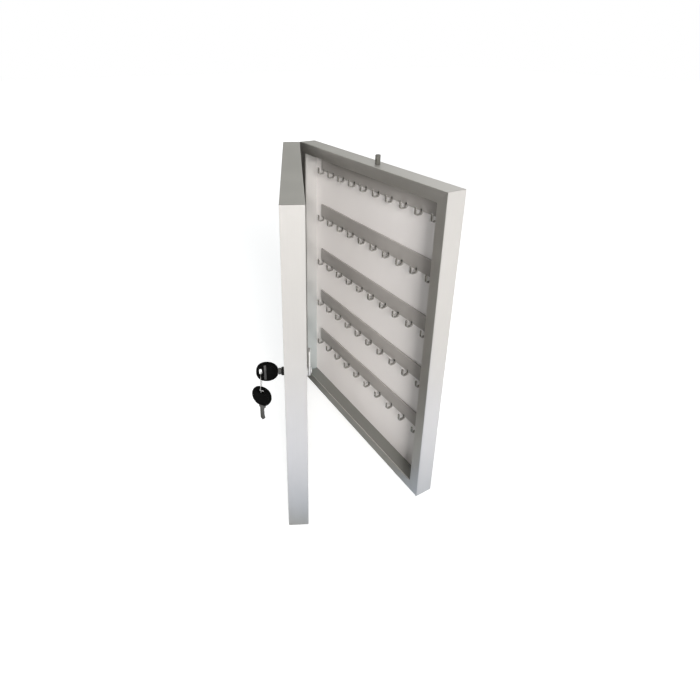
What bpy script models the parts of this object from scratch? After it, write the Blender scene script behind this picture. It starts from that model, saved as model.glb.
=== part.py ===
"""Wall key cabinet: a shallow framed tray with five hook rails, and a hinged door with a cam lock.

Metres, +Z up. +Y points into the wall, +X to the right of a person who faces the cabinet.
The origin is the centre of the back panel's wall face. The door stands open at its rest angle.
"""

from math import copysign, cos, pi, radians, sin, sqrt

import bmesh
import bpy
from mathutils import Matrix, Vector

# Clearances
SEAT_GAP = 0.0003
MITRE_GAP = 0.0002
CUT_OVERRUN = 0.001

# Body and door
BODY_WIDTH = 0.341
BODY_HEIGHT = 0.450
BODY_DEPTH = 0.027
DOOR_DEPTH = 0.0265
LIP_GAP = 0.0005
DOOR_REST_ANGLE = radians(26.9)

# Frame profile, cut across: a box with a lip turned inwards along its open side
PROFILE_WIDTH = 0.008
PROFILE_WALL = 0.0013
LIP_WIDTH = 0.016
LIP_THICKNESS = 0.0016
PROFILE_EDGE_RADIUS = 0.0006
LIP_EDGE_RADIUS = 0.0004
EDGE_STEPS = 2
PANEL_THICKNESS = 0.001
FLANGE_THICKNESS = 0.0012
CLEAT_LEG = 0.026

# Screws that hold the back panel, and holes for the wall's screws
PANEL_SCREW_RADIUS = 0.0011
PANEL_SCREW_HEAD_RADIUS = 0.0021
PANEL_SCREW_LENGTH = 0.006
PANEL_SCREW_FROM_SIDE = 0.0046
PANEL_SCREW_SPREAD = 0.085
SCREW_SINK = 0.0001
WALL_HOLE_RADIUS = 0.00275
WALL_HOLE_FROM_SIDE = 0.040
WALL_HOLE_FROM_TOP = 0.0140

# Hook rails
RAIL_COUNT = 5
TOP_RAIL_FROM_TOP = 0.0432
LOWEST_RAIL_FROM_BOTTOM = 0.0868
RAIL_FROM_SIDE = 0.0289
RAIL_HEIGHT = 0.0225
RAIL_THICKNESS = 0.003
HOOK_COUNT = 10
HOOK_FROM_RAIL_END = 0.0072
HOOK_WIDTH = 0.0042
HOOK_THICKNESS = 0.0015
HOOK_DROP = 0.0012
HOOK_BEND_RADIUS = 0.0020
HOOK_FLOOR = 0.0045
HOOK_TIP_RISE = 0.0082
HOOK_TIP_ROUND = 0.0012
HOOK_TIP_SHARE = 0.55
HOOK_BEND_STEPS = 2
RAIL_PEG_FROM_END = 0.038
RAIL_PEG_RADIUS = 0.0014
RAIL_PEG_HEAD_RADIUS = 0.0023

# Post on top of the body
POST_FROM_LEFT = 0.1946
POST_FROM_FRONT = 0.0121
POST_RADIUS = 0.00355
POST_HEIGHT = 0.0130
POST_CHAMFER = 0.0004
POST_SHANK_RADIUS = 0.0025
POST_SHANK_END = 0.0007
POST_NUT_ACROSS = 0.008
POST_NUT_THICKNESS = 0.0032

# Hinge, as long as the door
HINGE_FROM_END = 0.0015
LEAF_WIDTH = 0.014
LEAF_THICKNESS = 0.0009
KNUCKLE_RADIUS = 0.0015
KNUCKLE_BORE_RADIUS = 0.0010
HINGE_PIN_RADIUS = 0.0008
HINGE_PIN_HEAD_RADIUS = 0.0013
HINGE_PIN_HEAD = 0.0006
KNUCKLE_COUNT = 15
RIVET_RADIUS = 0.0013
RIVET_HEAD_RADIUS = 0.0022
RIVET_TAIL_RADIUS = 0.0020
RIVET_TAIL = 0.0015
RIVET_COUNT = 5
RIVET_FROM_LEAF_END = 0.038

# Lock
LOCK_FROM_FREE_EDGE = 0.040
LOCK_HEIGHT = 0.2225
HOUSING_RADIUS = 0.008
HOUSING_BORE_RADIUS = 0.0045
HOUSING_FLANGE_RADIUS = 0.0095
HOUSING_FLANGE_THICKNESS = 0.0015
NOSE_RADIUS = 0.0053
NOSE_LENGTH = 0.0041
LOCK_NUT_ACROSS = 0.022
LOCK_NUT_THICKNESS = 0.004
PLUG_RADIUS = 0.0042
TENON_SIDE = 0.0056
CAM_FROM_LIP = 0.0026
CAM_THICKNESS = 0.0025
CAM_REACH = 0.030
CAM_WIDTH = 0.014
CAM_TIP_SHARE = 0.7
CAM_SCREW_RADIUS = 0.0014
CAM_SCREW_HEAD_RADIUS = 0.0036
CAM_SCREW_HEAD = 0.0014
CAM_SCREW_LENGTH = 0.0075

# Keys
BLADE_WIDTH = 0.0062
BLADE_THICKNESS = 0.002
BLADE_LENGTH = 0.0200
BLADE_POINT = 0.003
BLADE_CUT_SHARES = (0.22, 0.38, 0.30, 0.42, 0.25)
NECK_WIDTH = 0.0088
NECK_LENGTH = 0.0036
TANG_WIDTH = 0.006
TANG_LENGTH = 0.008
HEAD_LENGTH = 0.0272
HEAD_WIDTH = 0.0270
HEAD_THICKNESS = 0.0050
HEAD_EDGE_RADIUS = 0.0014
HEAD_SQUARE_SHARE = 0.88
HEAD_NECK_SHARE = 1.06
HEAD_SLOT_LENGTH = 0.0098
HEAD_SLOT_WIDTH = 0.0036
HEAD_SLOT_FROM_END = 0.0055
RING_RADIUS = 0.0124
RING_WIRE_RADIUS = 0.00065
SPARE_KEY_TURN = radians(-27)

# Round pieces: number of sides
FINE_SIDES = 32
ROUND_SIDES = 20
SMALL_SIDES = 10

# Worked out from the sizes above
HINGE_OFFSET = KNUCKLE_RADIUS + SEAT_GAP
PANEL_REBATE = PANEL_THICKNESS + SEAT_GAP
DOOR_PANEL_GROOVE = PANEL_THICKNESS + 2 * SEAT_GAP
RAIL_LENGTH = BODY_WIDTH - 2 * RAIL_FROM_SIDE
HINGE_LENGTH = BODY_HEIGHT - 2 * HINGE_FROM_END
PI_HALF = pi / 2


def clear_scene():
    """Remove the objects that the file opened with."""
    for old in list(bpy.data.objects):
        bpy.data.objects.remove(old, do_unlink=True)


def new_collection(name):
    """Make a collection under the scene's own."""
    collection = bpy.data.collections.new(name)
    bpy.context.scene.collection.children.link(collection)
    return collection


def new_material(name, colour, roughness, metallic):
    """Make a plain Principled material."""
    material = bpy.data.materials.new(name)
    material.use_nodes = True
    shader = material.node_tree.nodes["Principled BSDF"]
    shader.inputs["Base Color"].default_value = (*colour, 1.0)
    shader.inputs["Roughness"].default_value = roughness
    shader.inputs["Metallic"].default_value = metallic
    material.diffuse_color = (*colour, 1.0)
    return material


def add_part(name, mesh, material, parent=None, location=(0, 0, 0), turn=0.0):
    """Put a mesh in the scene as one named piece of the cabinet."""
    mesh.name = name
    mesh.materials.clear()
    mesh.materials.append(material)
    mesh.shade_smooth()
    mesh.set_sharp_from_angle(angle=radians(35))
    piece = bpy.data.objects.new(name, mesh)
    piece.location = location
    piece.rotation_euler = (0, 0, turn)
    piece.parent = parent
    PARTS.objects.link(piece)
    return piece


def add_axis(name, location, parent=None, turn=0.0):
    """Put an empty on a joint's axis."""
    axis = bpy.data.objects.new(name, None)
    axis.empty_display_size = BODY_DEPTH
    axis.location = location
    axis.rotation_euler = (0, 0, turn)
    axis.parent = parent
    PARTS.objects.link(axis)
    return axis


def evaluated_mesh(piece, weld=0.000001):
    """Take the finished mesh of a working object, weld its caps, and remove the object."""
    PARTS.objects.link(piece)
    bpy.context.view_layer.update()
    mesh = bpy.data.meshes.new_from_object(piece.evaluated_get(bpy.context.evaluated_depsgraph_get()))
    bpy.data.objects.remove(piece, do_unlink=True)
    work = bmesh.new()
    work.from_mesh(mesh)
    bmesh.ops.remove_doubles(work, verts=work.verts, dist=weld)
    bmesh.ops.recalc_face_normals(work, faces=work.faces)
    work.to_mesh(mesh)
    work.free()
    return mesh


def axes_matrix(x_axis, y_axis, place=(0, 0, 0)):
    """Matrix that sends a mesh's own X and Y to the given axes, and Z to their cross product."""
    x_axis = Vector(x_axis)
    y_axis = Vector(y_axis)
    turn = Matrix((x_axis, y_axis, x_axis.cross(y_axis))).transposed()
    return Matrix.Translation(place) @ turn.to_4x4()


def rounded_outline(corners, steps=EDGE_STEPS):
    """Turn (x, y, radius) corners into points, with an arc at each corner that has a radius."""
    points = []
    for index, (x, y, radius) in enumerate(corners):
        here = Vector((x, y))
        if radius == 0:
            points.append(here)
            continue
        before = (Vector(corners[index - 1][:2]) - here).normalized()
        after = (Vector(corners[(index + 1) % len(corners)][:2]) - here).normalized()
        centre = here + (before + after) * radius
        for step in range(steps + 1):
            angle = PI_HALF * step / steps
            points.append(centre - after * radius * cos(angle) - before * radius * sin(angle))
    return points


def outline_mesh(outlines, thickness):
    """Fill closed outlines in XY, the later ones as holes, and thicken them evenly along Z."""
    curve = bpy.data.curves.new("outline", "CURVE")
    curve.dimensions = "2D"
    curve.fill_mode = "BOTH"
    curve.extrude = thickness / 2
    for outline in outlines:
        spline = curve.splines.new("POLY")
        spline.points.add(len(outline) - 1)
        for point, place in zip(spline.points, outline):
            point.co = (place[0], place[1], 0, 1)
        spline.use_cyclic_u = True
    return evaluated_mesh(bpy.data.objects.new("outline", curve))


def box_mesh(low, high):
    """Box between two corners."""
    size = Vector(high) - Vector(low)
    middle = (Vector(high) + Vector(low)) / 2
    work = bmesh.new()
    bmesh.ops.create_cube(work, size=1, matrix=Matrix.Translation(middle) @ Matrix.Diagonal((*size, 1)))
    return finished(work)


def finished(work):
    """Write a bmesh to a new mesh."""
    mesh = bpy.data.meshes.new("piece")
    work.to_mesh(mesh)
    work.free()
    return mesh


def turned_mesh(profile, sides=ROUND_SIDES):
    """Turn (radius, height) points, listed from the top down, round the Z axis."""
    mesh = bpy.data.meshes.new("profile")
    edges = [(index, index + 1) for index in range(len(profile) - 1)]
    mesh.from_pydata([(radius, 0, height) for radius, height in profile], edges, [])
    piece = bpy.data.objects.new("profile", mesh)
    screw = piece.modifiers.new("turn", "SCREW")
    screw.steps = sides
    screw.render_steps = sides
    screw.use_merge_vertices = True
    screw.merge_threshold = 0.000001
    return evaluated_mesh(piece)


def rod_mesh(radius, low, high, sides=ROUND_SIDES):
    """Round rod along Z."""
    return turned_mesh([(0, high), (radius, high), (radius, low), (0, low)], sides)


def hexagon_mesh(across, hole_radius, low, high):
    """Hexagon nut along Z."""
    corner = across / sqrt(3)
    outside = [(corner * cos(pi * side / 3), corner * sin(pi * side / 3)) for side in range(6)]
    hole = circle_points(hole_radius, ROUND_SIDES)
    mesh = outline_mesh([outside, hole], high - low)
    mesh.transform(Matrix.Translation((0, 0, (low + high) / 2)))
    return mesh


def circle_points(radius, sides, centre=(0, 0)):
    """Points round a circle in XY."""
    angles = [2 * pi * side / sides for side in range(sides)]
    return [(centre[0] + radius * cos(angle), centre[1] + radius * sin(angle)) for angle in angles]


def grouped(mesh, places):
    """One mesh that holds a copy of the given mesh at each place."""
    work = bmesh.new()
    for place in places:
        copy = mesh.copy()
        copy.transform(place if isinstance(place, Matrix) else Matrix.Translation(place))
        work.from_mesh(copy)
        bpy.data.meshes.remove(copy)
    return finished(work)


def combined(mesh, other, operation="DIFFERENCE"):
    """Cut one mesh by another, or join the two, with an exact Boolean."""
    piece = bpy.data.objects.new("target", mesh)
    tool = bpy.data.objects.new("tool", other)
    tool.hide_render = True
    tool.display_type = "WIRE"
    CUTTERS.objects.link(tool)
    boolean = piece.modifiers.new(operation.lower(), "BOOLEAN")
    boolean.operation = operation
    boolean.solver = "EXACT"
    boolean.object = tool
    result = evaluated_mesh(piece)
    bpy.data.objects.remove(tool, do_unlink=True)
    return result


def profile_mesh(length, outlines):
    """Length of frame profile with mitred ends: X runs inwards, Y away from the lip, Z along it."""
    mesh = outline_mesh(outlines, length)
    for vertex in mesh.vertices:
        reach = length / 2 - vertex.co.x - MITRE_GAP / 2 * sqrt(2)
        vertex.co.z = reach if vertex.co.z > 0 else -reach
    return mesh


def hollow_outline(depth_behind_lip):
    """Hollow of a profile, which the corner cleats fill near the mitres."""
    near = PROFILE_WALL
    far = PROFILE_WIDTH - PROFILE_WALL
    return [(near, LIP_THICKNESS), (far, LIP_THICKNESS), (far, depth_behind_lip), (near, depth_behind_lip)]


def lip_corners():
    """Corners that the body's and the door's profile share, from the outer edge round the lip."""
    return [
        (0, 0, PROFILE_EDGE_RADIUS),
        (LIP_WIDTH, 0, LIP_EDGE_RADIUS),
        (LIP_WIDTH, LIP_THICKNESS, LIP_EDGE_RADIUS),
        (PROFILE_WIDTH, LIP_THICKNESS, 0),
    ]


def body_section():
    """Section of the body's profile: the back panel lies in a rebate behind the hollow."""
    seat = BODY_DEPTH - PANEL_REBATE
    corners = lip_corners() + [
        (PROFILE_WIDTH, seat, 0),
        (PROFILE_WALL, seat, 0),
        (PROFILE_WALL, BODY_DEPTH, 0),
        (0, BODY_DEPTH, PROFILE_EDGE_RADIUS),
    ]
    return [rounded_outline(corners), hollow_outline(seat - PROFILE_WALL)]


def door_section():
    """Section of the door's profile: the door panel is held in a groove behind a flange."""
    groove_outer = DOOR_DEPTH - FLANGE_THICKNESS
    groove_inner = groove_outer - DOOR_PANEL_GROOVE
    corners = lip_corners() + [
        (PROFILE_WIDTH, groove_inner, 0),
        (PROFILE_WALL, groove_inner, 0),
        (PROFILE_WALL, groove_outer, 0),
        (PROFILE_WIDTH, groove_outer, 0),
        (PROFILE_WIDTH, DOOR_DEPTH, LIP_EDGE_RADIUS),
        (0, DOOR_DEPTH, PROFILE_EDGE_RADIUS),
    ]
    return [rounded_outline(corners), hollow_outline(groove_inner - PROFILE_WALL)]


def frame_sides(section, centre, depth_axis):
    """Four mitred meshes round a rectangle, by side. The centre lies in the plane of the lips."""
    half_width = BODY_WIDTH / 2
    half_height = BODY_HEIGHT / 2
    sides = {
        "top": (BODY_WIDTH, (0, 0, -1), (0, 0, half_height)),
        "bottom": (BODY_WIDTH, (0, 0, 1), (0, 0, -half_height)),
        "left": (BODY_HEIGHT, (1, 0, 0), (-half_width, 0, 0)),
        "right": (BODY_HEIGHT, (-1, 0, 0), (half_width, 0, 0)),
    }
    meshes = {}
    for side, (length, inwards, edge) in sides.items():
        mesh = profile_mesh(length, section)
        mesh.transform(axes_matrix(inwards, depth_axis, Vector(centre) + Vector(edge)))
        meshes[side] = mesh
    return meshes


def cleat_meshes(section, centre, depth_axis):
    """Four corner cleats, which fill the hollow round each mitre."""
    hollow = section[1]
    near = hollow[0][0] + SEAT_GAP
    far = hollow[2][0] - SEAT_GAP
    front = hollow[0][1] + SEAT_GAP
    back = hollow[2][1] - SEAT_GAP
    leg = CLEAT_LEG
    outline = [(near, near), (leg, near), (leg, far), (far, far), (far, leg), (near, leg)]
    middle = Vector(centre) + Vector(depth_axis) * (front + back) / 2
    meshes = {}
    for vertical, up in (("top", 1), ("bottom", -1)):
        for horizontal, right in (("left", -1), ("right", 1)):
            corner = Vector((right * BODY_WIDTH / 2, 0, up * BODY_HEIGHT / 2))
            mesh = outline_mesh([outline], back - front)
            mesh.transform(axes_matrix((-right, 0, 0), (0, 0, -up), middle + corner))
            meshes[vertical + "_" + horizontal] = mesh
    return meshes


def countersunk_mesh(head_radius, radius, plate, length):
    """Flat-headed shank along Z: the head lies just under height zero, in a plate of given thickness."""
    profile = [
        (0, -SCREW_SINK),
        (head_radius, -SCREW_SINK),
        (radius, -plate),
        (radius, -length),
        (0, -length),
    ]
    return turned_mesh(profile, SMALL_SIDES)


def countersunk_hole(head_radius, radius, plate, length):
    """Cutter that leaves the seat gap all round a flat-headed shank."""
    slope = (head_radius - radius) / plate
    profile = [
        (0, CUT_OVERRUN),
        (head_radius + SEAT_GAP + slope * CUT_OVERRUN, CUT_OVERRUN),
        (radius + SEAT_GAP, -plate),
        (radius + SEAT_GAP, -length),
        (0, -length),
    ]
    return turned_mesh(profile, SMALL_SIDES)


def from_wall(mesh):
    """Lay a turned mesh along Y so that its top lies in the wall's plane and it points to -Y."""
    mesh.transform(Matrix.Rotation(-PI_HALF, 4, "X"))
    return mesh


def panel_screw_hole():
    """Cutter for one of the back panel's screws."""
    length = PANEL_SCREW_LENGTH + SEAT_GAP
    return from_wall(countersunk_hole(PANEL_SCREW_HEAD_RADIUS, PANEL_SCREW_RADIUS, PANEL_THICKNESS, length))


def panel_screw_places():
    """Two screws in the top profile, two in the bottom one, and one half way up each side."""
    across = BODY_WIDTH / 2 - PANEL_SCREW_FROM_SIDE
    upright = BODY_HEIGHT / 2 - PANEL_SCREW_FROM_SIDE
    places = [(sign * PANEL_SCREW_SPREAD, 0, level) for level in (upright, -upright) for sign in (-1, 1)]
    return places + [(-across, 0, 0), (across, 0, 0)]


def rail_bottoms():
    """Height of each rail's lower edge, from the top rail down, evenly spaced."""
    highest = BODY_HEIGHT / 2 - TOP_RAIL_FROM_TOP
    lowest = LOWEST_RAIL_FROM_BOTTOM - BODY_HEIGHT / 2
    pitch = (highest - lowest) / (RAIL_COUNT - 1)
    return [highest - pitch * index for index in range(RAIL_COUNT)]


def rail_peg_places():
    """Two staked pegs for each rail, through the back panel."""
    reach = RAIL_LENGTH / 2 - RAIL_PEG_FROM_END
    middles = [bottom + RAIL_HEIGHT / 2 for bottom in rail_bottoms()]
    return [(sign * reach, 0, level) for level in middles for sign in (-1, 1)]


def wall_hole_places():
    """Two holes for the wall's screws, above the top rail."""
    across = BODY_WIDTH / 2 - WALL_HOLE_FROM_SIDE
    level = BODY_HEIGHT / 2 - WALL_HOLE_FROM_TOP
    return [(sign * across, 0, level) for sign in (-1, 1)]


def build_body_frame():
    """Four profiles with their cleats. The left one is drilled for the hinge, the top one for the post."""
    front = (0, -BODY_DEPTH, 0)
    section = body_section()
    sides = frame_sides(section, front, (0, 1, 0))
    screw_cutter = grouped(panel_screw_hole(), panel_screw_places())
    for side, mesh in sides.items():
        mesh = combined(mesh, screw_cutter.copy())
        if side == "left":
            mesh = combined(mesh, body_rivet_cutter())
        if side == "top":
            mesh = combined(mesh, post_cutter())
        add_part("body_" + side + "_profile", mesh, SILVER)
    for corner, mesh in cleat_meshes(section, front, (0, 1, 0)).items():
        add_part("body_corner_cleat_" + corner, mesh, CLEAT_GREY)


def build_back_panel():
    """Pale panel in the rebate, with holes for its screws, the rails' pegs and the wall's screws."""
    half_width = BODY_WIDTH / 2 - PROFILE_WALL - SEAT_GAP
    half_height = BODY_HEIGHT / 2 - PROFILE_WALL - SEAT_GAP
    mesh = box_mesh((-half_width, -PANEL_THICKNESS, -half_height), (half_width, 0, half_height))
    mesh = combined(mesh, grouped(panel_screw_hole(), panel_screw_places()))
    peg_length = PANEL_THICKNESS + CUT_OVERRUN
    peg_hole = countersunk_hole(RAIL_PEG_HEAD_RADIUS, RAIL_PEG_RADIUS, PANEL_THICKNESS, peg_length)
    mesh = combined(mesh, grouped(from_wall(peg_hole), rail_peg_places()))
    hole = from_wall(rod_mesh(WALL_HOLE_RADIUS, -PANEL_THICKNESS - CUT_OVERRUN, CUT_OVERRUN))
    mesh = combined(mesh, grouped(hole, wall_hole_places()))
    add_part("back_panel", mesh, PALE_PAINT)
    screw = countersunk_mesh(PANEL_SCREW_HEAD_RADIUS, PANEL_SCREW_RADIUS, PANEL_THICKNESS, PANEL_SCREW_LENGTH)
    from_wall(screw)
    for index, place in enumerate(panel_screw_places()):
        add_part("back_panel_screw_" + str(index + 1), screw.copy(), STEEL, location=place)


def hook_middles():
    """Places of a rail's hooks along it, from the rail's middle, evenly spaced."""
    last = RAIL_LENGTH / 2 - HOOK_FROM_RAIL_END
    pitch = 2 * last / (HOOK_COUNT - 1)
    return [pitch * index - last for index in range(HOOK_COUNT)]


def cut_lines(work, places, normal):
    """Score a bmesh all round at the given places along an axis."""
    axis = Vector(normal)
    for place in places:
        everything = work.verts[:] + work.edges[:] + work.faces[:]
        bmesh.ops.bisect_plane(work, geom=everything, plane_co=axis * place, plane_no=axis)


def drawn_out(work, face, offset):
    """Extrude one face of a closed bmesh by an offset, and return the face at its new end."""
    drawn = bmesh.ops.extrude_face_region(work, geom=[face])
    bmesh.ops.delete(work, geom=[face], context="FACES_ONLY")
    end = [item for item in drawn["geom"] if isinstance(item, bmesh.types.BMFace)][0]
    bmesh.ops.translate(work, verts=end.verts, vec=offset)
    return end


def quarter_bend(work, face, centre):
    """Turn one face of a closed bmesh through a quarter circle about X, and return its new place."""
    bent = bmesh.ops.spin(
        work, geom=[face], cent=centre, axis=(1, 0, 0), angle=-PI_HALF, steps=HOOK_BEND_STEPS, use_duplicate=False
    )
    bmesh.ops.delete(work, geom=[face], context="FACES_ONLY")
    return [item for item in bent["geom_last"] if isinstance(item, bmesh.types.BMFace)][0]


def bend_hook(work, face):
    """Draw one hook out of a face on the rail's lower edge: down, out towards -Y, and up."""
    radius = HOOK_BEND_RADIUS + HOOK_THICKNESS / 2
    end = drawn_out(work, face, (0, 0, -HOOK_DROP))
    end = quarter_bend(work, end, end.calc_center_median() - Vector((0, radius, 0)))
    end = drawn_out(work, end, (0, -HOOK_FLOOR, 0))
    end = quarter_bend(work, end, end.calc_center_median() + Vector((0, 0, radius)))
    end = drawn_out(work, end, (0, 0, HOOK_TIP_RISE - HOOK_TIP_ROUND))
    end = drawn_out(work, end, (0, 0, HOOK_TIP_ROUND))
    shares = (HOOK_TIP_SHARE, HOOK_TIP_SHARE, 1)
    middle = Matrix.Translation(-end.calc_center_median())
    bmesh.ops.scale(work, vec=shares, space=middle, verts=end.verts)


def rail_mesh():
    """Flat rail with its hooks and pegs, its back face at Y zero and its lower edge at Z zero."""
    mesh = box_mesh((-RAIL_LENGTH / 2, -RAIL_THICKNESS, 0), (RAIL_LENGTH / 2, 0, RAIL_HEIGHT))
    work = bmesh.new()
    work.from_mesh(mesh)
    edges = [middle + side * HOOK_WIDTH / 2 for middle in hook_middles() for side in (-1, 1)]
    root_back = -RAIL_THICKNESS + HOOK_THICKNESS
    cut_lines(work, edges, (1, 0, 0))
    cut_lines(work, [root_back], (0, 1, 0))
    for middle in hook_middles():
        bend_hook(work, hook_root(work, middle, root_back))
    bmesh.ops.recalc_face_normals(work, faces=work.faces)
    mesh = finished(work)
    reach = RAIL_LENGTH / 2 - RAIL_PEG_FROM_END
    length = PANEL_REBATE + RAIL_THICKNESS / 2
    peg = from_wall(countersunk_mesh(RAIL_PEG_HEAD_RADIUS, RAIL_PEG_RADIUS, PANEL_THICKNESS, length))
    for sign in (-1, 1):
        place = Matrix.Translation((sign * reach, PANEL_REBATE, RAIL_HEIGHT / 2))
        mesh = combined(mesh, grouped(peg, [place]), "UNION")
    return mesh


def hook_root(work, middle, root_back):
    """Face on the rail's lower edge that a hook grows from."""
    for face in work.faces:
        centre = face.calc_center_median()
        under = face.normal.z < -0.9
        if under and abs(centre.x - middle) < HOOK_WIDTH / 2 and centre.y < root_back:
            return face
    return None


def build_rails():
    """Five rails on the back panel."""
    mesh = rail_mesh()
    for index, bottom in enumerate(rail_bottoms()):
        place = (0, -PANEL_REBATE, bottom)
        add_part("key_rail_" + str(index + 1), mesh.copy(), RAIL_GREY, location=place)


def post_place():
    """Where the post stands, on the top face of the body."""
    return Vector((POST_FROM_LEFT - BODY_WIDTH / 2, POST_FROM_FRONT - BODY_DEPTH, BODY_HEIGHT / 2))


def post_cutter():
    """Hole for the post's shank through both walls of the top profile."""
    mesh = rod_mesh(POST_SHANK_RADIUS + SEAT_GAP, -PROFILE_WIDTH - CUT_OVERRUN, CUT_OVERRUN)
    mesh.transform(Matrix.Translation(post_place()))
    return mesh


def build_post():
    """Round post with a shank through the top profile, and its nut inside the tray."""
    low = SEAT_GAP
    high = POST_HEIGHT
    shank_end = -PROFILE_WIDTH - SEAT_GAP - POST_NUT_THICKNESS - POST_SHANK_END
    profile = [
        (0, high),
        (POST_RADIUS - POST_CHAMFER, high),
        (POST_RADIUS, high - POST_CHAMFER),
        (POST_RADIUS, low),
        (POST_SHANK_RADIUS, low),
        (POST_SHANK_RADIUS, shank_end),
        (0, shank_end),
    ]
    add_part("top_post", turned_mesh(profile), STEEL, location=post_place())
    nut_top = -PROFILE_WIDTH - SEAT_GAP
    nut = hexagon_mesh(POST_NUT_ACROSS, POST_SHANK_RADIUS + SEAT_GAP, nut_top - POST_NUT_THICKNESS, nut_top)
    add_part("top_post_nut", nut, STEEL, location=post_place())


def rivet_mesh():
    """Blind rivet along Z: flat head in the leaf at the top, tail inside the profile's hollow."""
    cone_end = -LEAF_THICKNESS
    tail_start = cone_end - SEAT_GAP - PROFILE_WALL - SEAT_GAP
    profile = [
        (0, -SCREW_SINK),
        (RIVET_HEAD_RADIUS, -SCREW_SINK),
        (RIVET_RADIUS, cone_end),
        (RIVET_RADIUS, tail_start),
        (RIVET_TAIL_RADIUS, tail_start),
        (RIVET_TAIL_RADIUS, tail_start - RIVET_TAIL),
        (0, tail_start - RIVET_TAIL),
    ]
    return turned_mesh(profile, SMALL_SIDES)


def rivet_hole():
    """Cutter for a rivet, from outside the leaf to inside the profile's hollow."""
    end = -LEAF_THICKNESS - SEAT_GAP - PROFILE_WALL - SEAT_GAP
    slope = (RIVET_HEAD_RADIUS - RIVET_RADIUS) / LEAF_THICKNESS
    profile = [
        (0, CUT_OVERRUN),
        (RIVET_HEAD_RADIUS + SEAT_GAP + slope * CUT_OVERRUN, CUT_OVERRUN),
        (RIVET_RADIUS + SEAT_GAP, -LEAF_THICKNESS),
        (RIVET_RADIUS + SEAT_GAP, end),
        (0, end),
    ]
    return turned_mesh(profile, SMALL_SIDES)


def rivet_places(side):
    """Rivets of one leaf, in the hinge's own frame: X outwards is negative, side 1 is the body's."""
    x = KNUCKLE_RADIUS - LEAF_THICKNESS
    y = side * (KNUCKLE_RADIUS + LEAF_WIDTH) / 2
    reach = HINGE_LENGTH / 2 - RIVET_FROM_LEAF_END
    levels = [reach - 2 * reach * index / (RIVET_COUNT - 1) for index in range(RIVET_COUNT)]
    turn = Matrix.Rotation(-PI_HALF, 4, "Y")
    return [Matrix.Translation((x, y, level)) @ turn for level in levels]


def leaf_mesh(side):
    """Hinge leaf round the pin's axis. Side 1 lies on the body, side -1 on the door."""
    inner = KNUCKLE_RADIUS
    outer = inner - LEAF_THICKNESS
    near = KNUCKLE_RADIUS + SEAT_GAP
    half = HINGE_LENGTH / 2
    plate = box_mesh((outer, near, -half), (inner, LEAF_WIDTH, half))
    length = (HINGE_LENGTH - (KNUCKLE_COUNT - 1) * SEAT_GAP) / KNUCKLE_COUNT
    first = 0 if side == 1 else 1
    places = [(0, 0, (length + SEAT_GAP) * index - half) for index in range(first, KNUCKLE_COUNT, 2)]
    tab_near = sqrt(KNUCKLE_BORE_RADIUS ** 2 - outer ** 2)
    tab = box_mesh((outer, tab_near, 0), (inner - SEAT_GAP, near + SEAT_GAP, length))
    plate = combined(plate, grouped(tab, places), "UNION")
    plate = combined(plate, grouped(rod_mesh(KNUCKLE_RADIUS, 0, length), places), "UNION")
    bore = rod_mesh(KNUCKLE_BORE_RADIUS, -half - CUT_OVERRUN, half + CUT_OVERRUN)
    plate = combined(plate, bore)
    if side < 0:
        plate.transform(Matrix.Diagonal((1, -1, 1, 1)))
        plate.flip_normals()
    return combined(plate, grouped(rivet_hole(), rivet_places(side)))


def hinge_axis_place():
    """The pin's axis, at the left front edge of the body."""
    return Vector((-BODY_WIDTH / 2 - HINGE_OFFSET, -BODY_DEPTH - LIP_GAP / 2, 0))


def rivet_cutter(side):
    """One leaf's rivet holes, round the hinge axis. Side 1 is the body's, side -1 the door's."""
    return grouped(rivet_hole(), rivet_places(side))


def body_rivet_cutter():
    """Rivet holes in the body's left profile."""
    mesh = rivet_cutter(1)
    mesh.transform(Matrix.Translation(hinge_axis_place()))
    return mesh


def build_hinge(door_axis):
    """Long hinge: a leaf and rivets on the body, a leaf and rivets on the door, and the pin."""
    pin_half = HINGE_LENGTH / 2
    pin_profile = [
        (0, pin_half + SEAT_GAP + HINGE_PIN_HEAD),
        (HINGE_PIN_HEAD_RADIUS, pin_half + SEAT_GAP + HINGE_PIN_HEAD),
        (HINGE_PIN_HEAD_RADIUS, pin_half + SEAT_GAP),
        (HINGE_PIN_RADIUS, pin_half + SEAT_GAP),
        (HINGE_PIN_RADIUS, -pin_half),
        (0, -pin_half),
    ]
    on_body = hinge_axis_place()
    add_part("hinge_body_leaf", leaf_mesh(1), HINGE_STEEL, location=on_body)
    add_part("hinge_door_leaf", leaf_mesh(-1), HINGE_STEEL, door_axis)
    add_part("hinge_pin", turned_mesh(pin_profile, SMALL_SIDES), STEEL, location=on_body)
    for index, place in enumerate(rivet_places(1)):
        add_part("hinge_body_rivet_" + str(index + 1), grouped(rivet_mesh(), [place]), STEEL, location=on_body)
    for index, place in enumerate(rivet_places(-1)):
        add_part("hinge_door_rivet_" + str(index + 1), grouped(rivet_mesh(), [place]), STEEL, door_axis)


def door_centre():
    """Middle of the plane of the door's lips, in the door's frame."""
    return Vector((HINGE_OFFSET + BODY_WIDTH / 2, -LIP_GAP / 2, 0))


def build_door_frame(door_axis):
    """Four profiles with their cleats. The door's frame has its origin on the hinge axis."""
    section = door_section()
    names = {"top": "top", "bottom": "bottom", "left": "hinge_side", "right": "lock_side"}
    for side, mesh in frame_sides(section, door_centre(), (0, -1, 0)).items():
        if side == "left":
            mesh = combined(mesh, rivet_cutter(-1))
        add_part("door_" + names[side] + "_profile", mesh, SILVER, door_axis)
    for corner, mesh in cleat_meshes(section, door_centre(), (0, -1, 0)).items():
        add_part("door_corner_cleat_" + corner, mesh, CLEAT_GREY, door_axis)


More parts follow.
